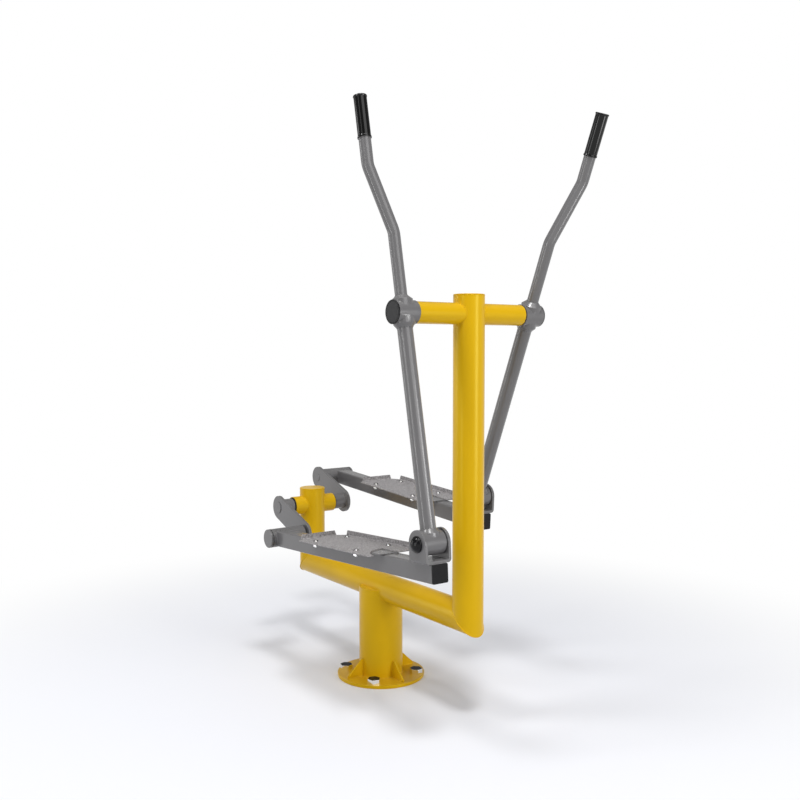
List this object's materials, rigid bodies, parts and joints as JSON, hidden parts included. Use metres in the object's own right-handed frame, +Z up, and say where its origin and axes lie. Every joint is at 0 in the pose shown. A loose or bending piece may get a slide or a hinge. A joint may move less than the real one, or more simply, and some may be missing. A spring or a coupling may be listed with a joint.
{
  "type": "outdoor cross trainer",
  "caption": "Outdoor elliptical cross trainer: yellow bolted post frame, swinging grey hand levers and foot bars with treads, linked to a shared crank behind.",
  "frame": {"origin": "centre of the base flange's underside, on the ground", "axes": "+Z up, +Y from the handle end towards the crank end, +X to the right seen when facing +Y"},
  "size_m": [0.6165, 1.3392, 1.7329],
  "materials": {
    "yellow_coat": "smooth semi-gloss yellow powder coat",
    "grey_coat": "smooth semi-gloss mid-grey powder coat",
    "plate_coat": "light grey anti-slip coat with a fine speckle",
    "black_plastic": "smooth glossy black",
    "grey_plastic": "dark grey face with a black edge",
    "grip_rubber": "smooth, slightly glossy black rubber",
    "seal_rubber": "matt black rubber",
    "zinc_steel": "bright zinc-plated steel",
    "bearing_steel": "ground bearing steel with black seals",
    "nut_chrome": "polished steel"
  },
  "bodies": {
    "frame": {"base_flange": "yellow_coat", "base_post": "yellow_coat", "base_gussets": "yellow_coat", "anchor_nuts": "nut_chrome", "main_beam": "yellow_coat", "front_post": "yellow_coat", "rear_post": "yellow_coat", "post_caps": "yellow_coat", "crossbar": "yellow_coat", "hub_axles": "zinc_steel", "axle_nuts": "zinc_steel", "crank_housing": "yellow_coat", "crank_bearings": "bearing_steel", "shaft_seals": "seal_rubber"},
    "crank": {"crank_shaft": "zinc_steel", "crank_keys": "zinc_steel", "left_crank_arm": "grey_coat", "right_crank_arm": "grey_coat", "crank_end_screws": "grey_coat", "spindle_roots": "grey_coat"},
    "left_lever": {"left_hub": "grey_coat", "left_lever_tube": "grey_coat", "left_handle": "grey_coat", "left_grip": "grip_rubber", "left_knuckle": "grey_coat", "left_hub_bearings": "bearing_steel", "left_hub_cap": "grey_plastic", "left_knuckle_bearings": "bearing_steel"},
    "left_bar": {"left_foot_bar": "grey_coat", "left_black_caps": "black_plastic", "left_clevis": "grey_coat", "left_clevis_bolt": "zinc_steel", "left_rear_bush": "grey_coat", "left_bush_bearings": "bearing_steel", "left_spindle": "zinc_steel", "left_bush_cap": "grey_coat", "left_bar_seals": "seal_rubber", "left_plate_straps": "grey_coat", "left_foot_plate": "plate_coat", "left_plate_bolts": "zinc_steel"},
    "right_lever": {"right_hub": "grey_coat", "right_lever_tube": "grey_coat", "right_handle": "grey_coat", "right_grip": "grip_rubber", "right_knuckle": "grey_coat", "right_hub_bearings": "bearing_steel", "right_hub_cap": "grey_plastic", "right_knuckle_bearings": "bearing_steel"},
    "right_bar": {"right_foot_bar": "grey_coat", "right_black_caps": "black_plastic", "right_clevis": "grey_coat", "right_clevis_bolt": "zinc_steel", "right_rear_bush": "grey_coat", "right_bush_bearings": "bearing_steel", "right_spindle": "zinc_steel", "right_bush_cap": "grey_coat", "right_bar_seals": "seal_rubber", "right_plate_straps": "grey_coat", "right_foot_plate": "plate_coat", "right_plate_bolts": "zinc_steel"}
  },
  "joints": [
    {"name": "crank_turn", "type": "hinge", "parent": "frame", "child": "crank", "pos_m": [0, 0.44, 0.495], "axis": [1, 0, 0], "range_deg": [0, 180]},
    {"name": "left_lever_swing", "type": "hinge", "parent": "frame", "child": "left_lever", "pos_m": [-0.226, -0.44, 1.15], "axis": [1, 0, 0], "range_deg": [0, 33.44]},
    {"name": "right_lever_swing", "type": "hinge", "parent": "frame", "child": "right_lever", "pos_m": [0.226, -0.44, 1.15], "axis": [1, 0, 0], "range_deg": [-33.44, 0]},
    {"name": "left_bar_pivot", "type": "hinge", "parent": "left_lever", "child": "left_bar", "pos_m": [-0.226, -0.55867, 0.55369], "axis": [1, 0, 0], "range_deg": [-26.73, 0]},
    {"name": "right_bar_pivot", "type": "hinge", "parent": "right_lever", "child": "right_bar", "pos_m": [0.226, -0.21042, 0.58701], "axis": [1, 0, 0], "range_deg": [0, 26.73]}
  ],
  "couplings": [
    {"joint": "left_lever_swing", "follows": "crank_turn", "ratio": 0.18578},
    {"joint": "right_lever_swing", "follows": "crank_turn", "ratio": -0.18578},
    {"joint": "left_bar_pivot", "follows": "crank_turn", "ratio": -0.14851},
    {"joint": "right_bar_pivot", "follows": "crank_turn", "ratio": 0.14851}
  ]
}
